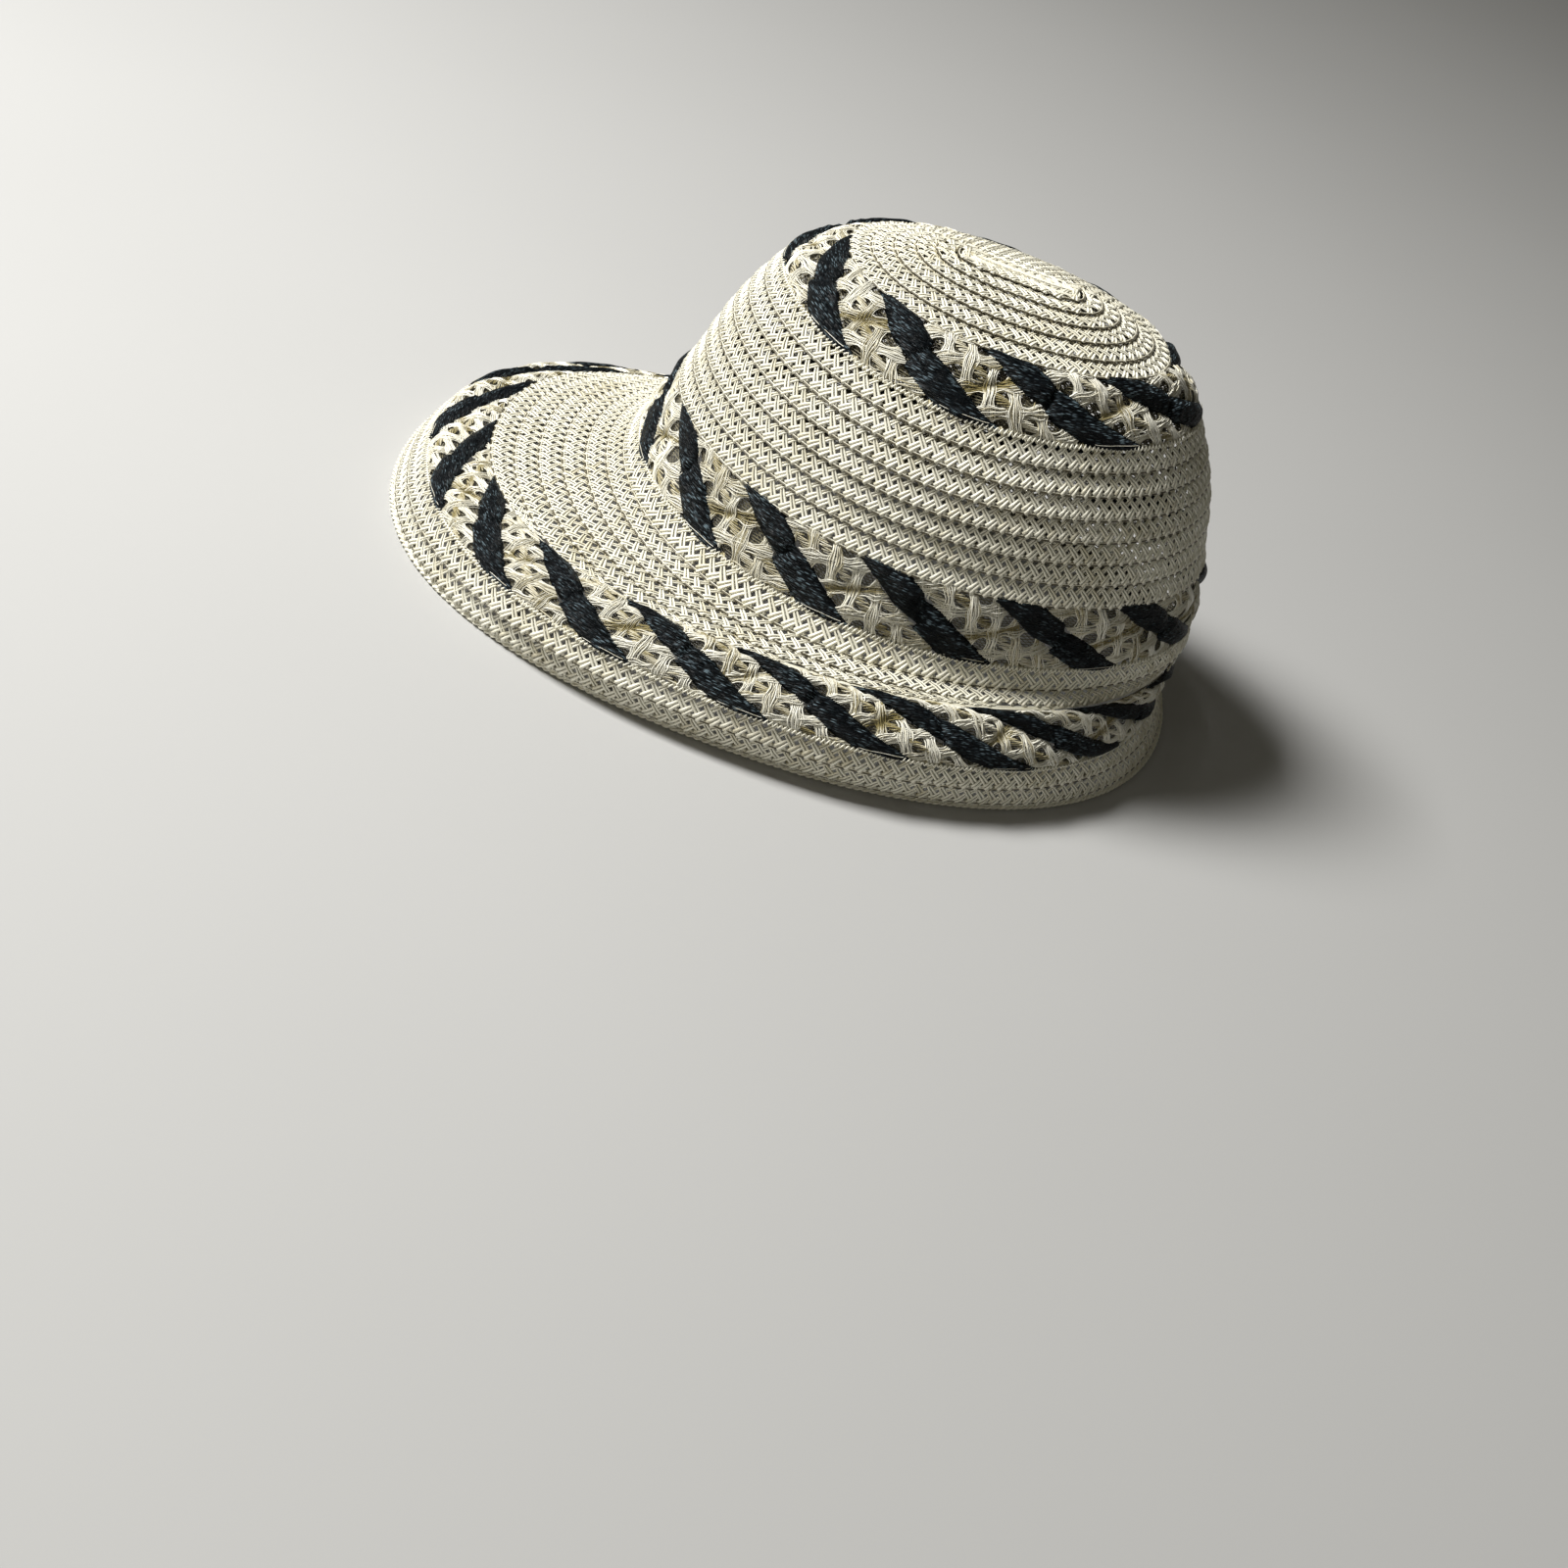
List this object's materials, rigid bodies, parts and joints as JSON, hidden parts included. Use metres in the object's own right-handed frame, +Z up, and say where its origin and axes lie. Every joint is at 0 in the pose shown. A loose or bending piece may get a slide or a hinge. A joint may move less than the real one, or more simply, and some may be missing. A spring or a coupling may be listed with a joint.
{
  "type": "wide-brim straw hat",
  "caption": "Soft wide-brim sun hat of sewn open braid, with bands of lace and slanted dark ribbon; the brim is deep in front and short behind.",
  "frame": {"origin": "on the floor under the middle of the brim", "axes": "+Z up, -Y to the front of the hat, +X to the wearer's left"},
  "size_m": [0.2542, 0.2946, 0.1419],
  "materials": {
    "straw_braid": "glossy plaited paper straw, cream",
    "lace_strip": "shiny open net strip, cream to olive",
    "dark_ribbon": "finely woven ribbon with a soft sheen, blue-black"
  },
  "bodies": {
    "root": {"crown_tip": "straw_braid", "crown_side": "straw_braid", "brim_inner": "straw_braid", "brim_edge": "straw_braid", "upper_band": "lace_strip", "lower_band": "lace_strip", "brim_band": "lace_strip", "upper_leaf_01": "dark_ribbon", "upper_leaf_02": "dark_ribbon", "upper_leaf_03": "dark_ribbon", "upper_leaf_04": "dark_ribbon", "upper_leaf_05": "dark_ribbon", "upper_leaf_06": "dark_ribbon", "upper_leaf_07": "dark_ribbon", "upper_leaf_08": "dark_ribbon", "lower_leaf_01": "dark_ribbon", "lower_leaf_02": "dark_ribbon", "lower_leaf_03": "dark_ribbon", "lower_leaf_04": "dark_ribbon", "lower_leaf_05": "dark_ribbon", "lower_leaf_06": "dark_ribbon", "lower_leaf_07": "dark_ribbon", "lower_leaf_08": "dark_ribbon", "lower_leaf_09": "dark_ribbon", "lower_leaf_10": "dark_ribbon", "lower_leaf_11": "dark_ribbon", "lower_leaf_12": "dark_ribbon", "brim_leaf_01": "dark_ribbon", "brim_leaf_02": "dark_ribbon", "brim_leaf_03": "dark_ribbon", "brim_leaf_04": "dark_ribbon", "brim_leaf_05": "dark_ribbon", "brim_leaf_06": "dark_ribbon", "brim_leaf_07": "dark_ribbon", "brim_leaf_08": "dark_ribbon", "brim_leaf_09": "dark_ribbon", "brim_leaf_10": "dark_ribbon", "brim_leaf_11": "dark_ribbon", "brim_leaf_12": "dark_ribbon", "brim_leaf_13": "dark_ribbon", "brim_leaf_14": "dark_ribbon", "brim_leaf_15": "dark_ribbon", "brim_leaf_16": "dark_ribbon", "brim_leaf_17": "dark_ribbon"}
  },
  "joints": []
}
